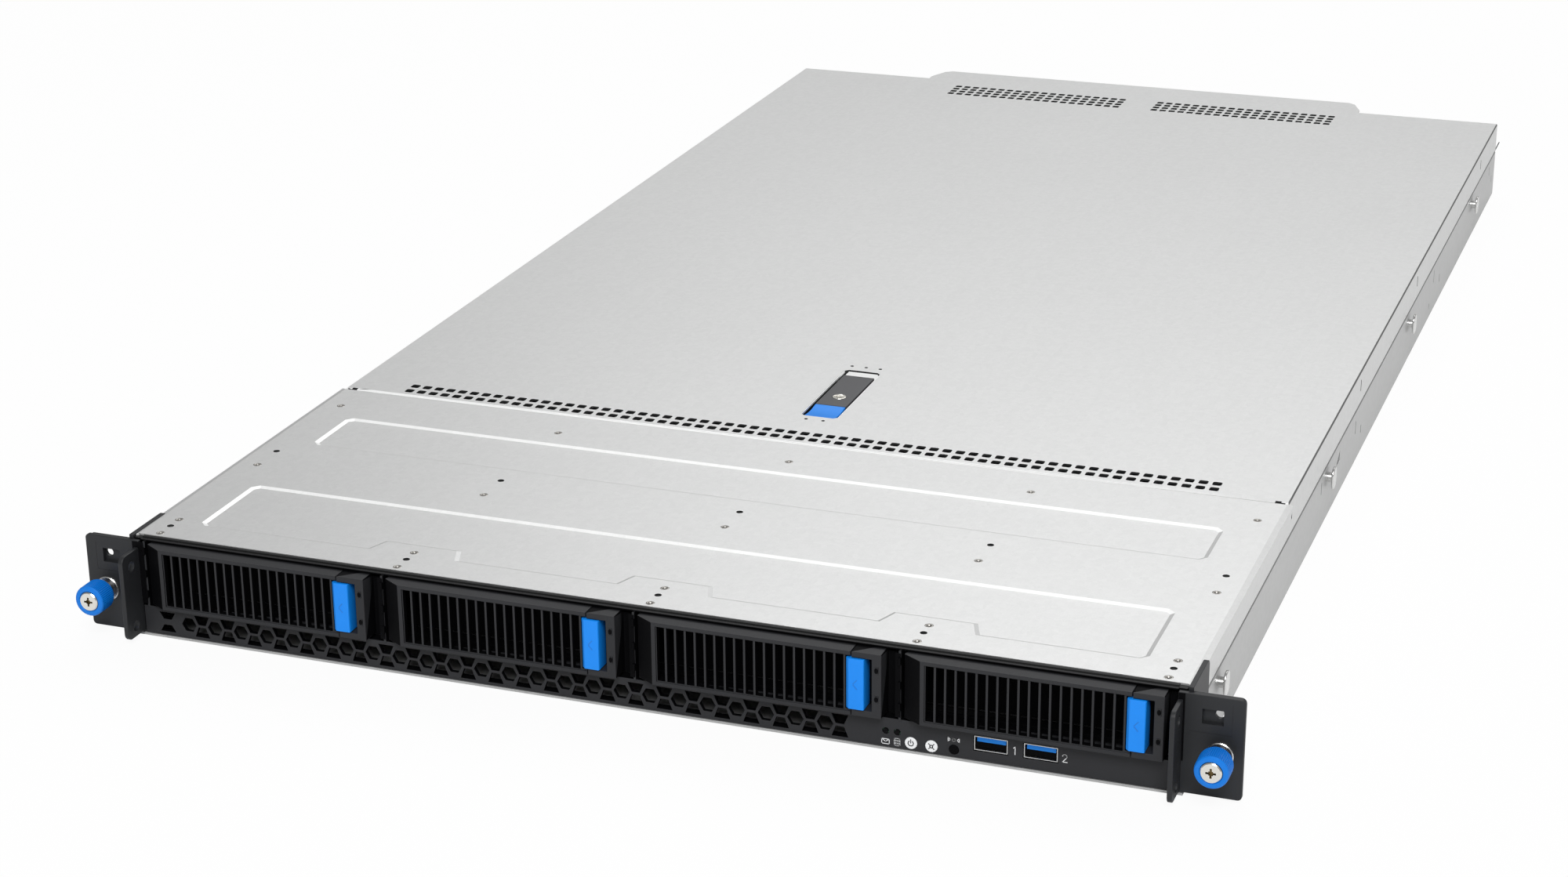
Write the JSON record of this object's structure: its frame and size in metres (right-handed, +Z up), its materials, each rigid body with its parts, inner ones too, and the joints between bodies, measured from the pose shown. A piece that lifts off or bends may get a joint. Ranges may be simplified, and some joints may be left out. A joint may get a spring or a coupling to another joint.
{
  "type": "1u rack server",
  "caption": "Flat rack-mount server with slatted drive trays across the front, a hexagon-vented strip, rack ears with thumbscrews and a latched sliding cover.",
  "frame": {"origin": "on the centreline, in the underside of the pan's floor, on the plane of the ears' front faces", "axes": "+X to the server's right seen from the front, +Y to the rear, +Z up"},
  "size_m": [0.4826, 0.8568, 0.0431],
  "materials": {
    "sheet_steel": "satin zinc-coated sheet",
    "bright_steel": "bright plated steel",
    "black_plastic": "fine-grained black plastic",
    "blue_plastic": "satin blue plastic",
    "circuit_board": "green board lacquer",
    "fin_aluminium": "bare fins",
    "supply_shell": "satin metal shell",
    "drive_casting": "cast and pressed shell"
  },
  "bodies": {
    "chassis": {"chassis_pan": "sheet_steel", "rear_panel": "sheet_steel", "front_cover": "sheet_steel", "cross_brace": "sheet_steel", "drive_cage": "sheet_steel", "front_bezel": "black_plastic", "control_board": "circuit_board", "usb_sockets": "bright_steel", "ear_trim_left": "black_plastic", "ear_trim_right": "black_plastic", "ear_bracket_left": "black_plastic", "ear_bracket_right": "black_plastic", "thumbscrew_ferrules": "bright_steel", "rail_studs": "bright_steel", "backplane": "circuit_board", "fan_frames": "black_plastic", "main_board": "circuit_board", "heatsinks": "fin_aluminium", "memory_modules": "circuit_board", "air_duct": "black_plastic", "riser_cage": "sheet_steel"},
    "bay_1": {"tray_1": "black_plastic", "drive_1": "drive_casting"},
    "handle_1": {"handle_1": "black_plastic"},
    "release_1": {"release_1": "blue_plastic"},
    "bay_2": {"tray_2": "black_plastic", "drive_2": "drive_casting"},
    "handle_2": {"handle_2": "black_plastic"},
    "release_2": {"release_2": "blue_plastic"},
    "bay_3": {"tray_3": "black_plastic", "drive_3": "drive_casting"},
    "handle_3": {"handle_3": "black_plastic"},
    "release_3": {"release_3": "blue_plastic"},
    "bay_4": {"tray_4": "black_plastic", "drive_4": "drive_casting"},
    "handle_4": {"handle_4": "black_plastic"},
    "release_4": {"release_4": "blue_plastic"},
    "power_button": {"power_button": "black_plastic"},
    "id_button": {"id_button": "black_plastic"},
    "reset_button": {"reset_button": "black_plastic"},
    "rear_cover": {"rear_cover": "sheet_steel"},
    "latch_lever": {"latch_lever": "black_plastic"},
    "latch_release": {"latch_release": "blue_plastic"},
    "latch_lock": {"latch_lock_screw": "bright_steel"},
    "retainer_left": {"retainer_left": "bright_steel"},
    "thumbscrew_left": {"knob_left": "blue_plastic", "screw_left": "bright_steel"},
    "power_supply_left": {"power_supply_left": "supply_shell"},
    "psu_latch_left": {"psu_latch_left": "blue_plastic"},
    "retainer_right": {"retainer_right": "bright_steel"},
    "thumbscrew_right": {"knob_right": "blue_plastic", "screw_right": "bright_steel"},
    "power_supply_right": {"power_supply_right": "supply_shell"},
    "psu_latch_right": {"psu_latch_right": "blue_plastic"},
    "fan_1": {"fan_rotor_1": "black_plastic"},
    "fan_2": {"fan_rotor_2": "black_plastic"},
    "fan_3": {"fan_rotor_3": "black_plastic"},
    "fan_4": {"fan_rotor_4": "black_plastic"}
  },
  "joints": [
    {"name": "tray_slide_1", "type": "slide", "parent": "chassis", "child": "bay_1", "axis": [0, -1, 0], "range_m": [0, 0.15]},
    {"name": "handle_hinge_1", "type": "hinge", "parent": "bay_1", "child": "handle_1", "pos_m": [-0.2098, 0.0019, 0.0278], "axis": [0, 0, -1], "range_deg": [0, 55]},
    {"name": "release_press_1", "type": "slide", "parent": "bay_1", "child": "release_1", "axis": [1, 0, 0], "range_m": [0, 0.0022], "stiffness_N_per_m": 400},
    {"name": "tray_slide_2", "type": "slide", "parent": "chassis", "child": "bay_2", "axis": [0, -1, 0], "range_m": [0, 0.15]},
    {"name": "handle_hinge_2", "type": "hinge", "parent": "bay_2", "child": "handle_2", "pos_m": [-0.1018, 0.0019, 0.0278], "axis": [0, 0, -1], "range_deg": [0, 55]},
    {"name": "release_press_2", "type": "slide", "parent": "bay_2", "child": "release_2", "axis": [1, 0, 0], "range_m": [0, 0.0022], "stiffness_N_per_m": 400},
    {"name": "tray_slide_3", "type": "slide", "parent": "chassis", "child": "bay_3", "axis": [0, -1, 0], "range_m": [0, 0.15]},
    {"name": "handle_hinge_3", "type": "hinge", "parent": "bay_3", "child": "handle_3", "pos_m": [0.0062, 0.0019, 0.0278], "axis": [0, 0, -1], "range_deg": [0, 55]},
    {"name": "release_press_3", "type": "slide", "parent": "bay_3", "child": "release_3", "axis": [1, 0, 0], "range_m": [0, 0.0022], "stiffness_N_per_m": 400},
    {"name": "tray_slide_4", "type": "slide", "parent": "chassis", "child": "bay_4", "axis": [0, -1, 0], "range_m": [0, 0.15]},
    {"name": "handle_hinge_4", "type": "hinge", "parent": "bay_4", "child": "handle_4", "pos_m": [0.1142, 0.0019, 0.0278], "axis": [0, 0, -1], "range_deg": [0, 55]},
    {"name": "release_press_4", "type": "slide", "parent": "bay_4", "child": "release_4", "axis": [1, 0, 0], "range_m": [0, 0.0022], "stiffness_N_per_m": 400},
    {"name": "power_press", "type": "slide", "parent": "chassis", "child": "power_button", "axis": [0, 1, 0], "range_m": [0, 0.0008], "stiffness_N_per_m": 900},
    {"name": "id_press", "type": "slide", "parent": "chassis", "child": "id_button", "axis": [0, 1, 0], "range_m": [0, 0.0008], "stiffness_N_per_m": 900},
    {"name": "reset_press", "type": "slide", "parent": "chassis", "child": "reset_button", "axis": [0, 1, 0], "range_m": [0, 0.0008], "stiffness_N_per_m": 900},
    {"name": "cover_slide", "type": "slide", "parent": "chassis", "child": "rear_cover", "axis": [0, 1, 0], "range_m": [0, 0.012]},
    {"name": "latch_hinge", "type": "hinge", "parent": "rear_cover", "child": "latch_lever", "pos_m": [0, 0.275, 0.0396], "axis": [-1, 0, 0], "range_deg": [0, 60]},
    {"name": "latch_release_press", "type": "slide", "parent": "latch_lever", "child": "latch_release", "axis": [0, 0, -1], "range_m": [0, 0.0015], "stiffness_N_per_m": 600},
    {"name": "latch_lock_turn", "type": "hinge", "parent": "latch_lever", "child": "latch_lock", "pos_m": [0, 0.2505, 0.0406], "axis": [0, 0, 1], "range_deg": [0, 90]},
    {"name": "thumbscrew_out_left", "type": "slide", "parent": "chassis", "child": "retainer_left", "axis": [0, 1, 0], "range_m": [0, 0.004]},
    {"name": "thumbscrew_turn_left", "type": "hinge", "parent": "retainer_left", "child": "thumbscrew_left", "pos_m": [-0.23255, -0.012, 0.0184], "axis": [0, 1, 0], "continuous": true},
    {"name": "power_supply_slide_left", "type": "slide", "parent": "chassis", "child": "power_supply_left", "axis": [0, 1, 0], "range_m": [0, 0.15]},
    {"name": "psu_latch_press_left", "type": "slide", "parent": "power_supply_left", "child": "psu_latch_left", "axis": [1, 0, 0], "range_m": [0, 0.0012], "stiffness_N_per_m": 600},
    {"name": "thumbscrew_out_right", "type": "slide", "parent": "chassis", "child": "retainer_right", "axis": [0, 1, 0], "range_m": [0, 0.004]},
    {"name": "thumbscrew_turn_right", "type": "hinge", "parent": "retainer_right", "child": "thumbscrew_right", "pos_m": [0.23255, -0.012, 0.0184], "axis": [0, 1, 0], "continuous": true},
    {"name": "power_supply_slide_right", "type": "slide", "parent": "chassis", "child": "power_supply_right", "axis": [0, 1, 0], "range_m": [0, 0.15]},
    {"name": "psu_latch_press_right", "type": "slide", "parent": "power_supply_right", "child": "psu_latch_right", "axis": [1, 0, 0], "range_m": [0, 0.0012], "stiffness_N_per_m": 600},
    {"name": "fan_spin_1", "type": "hinge", "parent": "chassis", "child": "fan_1", "pos_m": [-0.147, 0.322, 0.021], "axis": [0, 1, 0], "continuous": true},
    {"name": "fan_spin_2", "type": "hinge", "parent": "chassis", "child": "fan_2", "pos_m": [-0.049, 0.322, 0.021], "axis": [0, 1, 0], "continuous": true},
    {"name": "fan_spin_3", "type": "hinge", "parent": "chassis", "child": "fan_3", "pos_m": [0.049, 0.322, 0.021], "axis": [0, 1, 0], "continuous": true},
    {"name": "fan_spin_4", "type": "hinge", "parent": "chassis", "child": "fan_4", "pos_m": [0.147, 0.322, 0.021], "axis": [0, 1, 0], "continuous": true}
  ],
  "couplings": [
    {"joint": "latch_hinge", "follows": "cover_slide", "rad_per_m": 87.26}
  ]
}
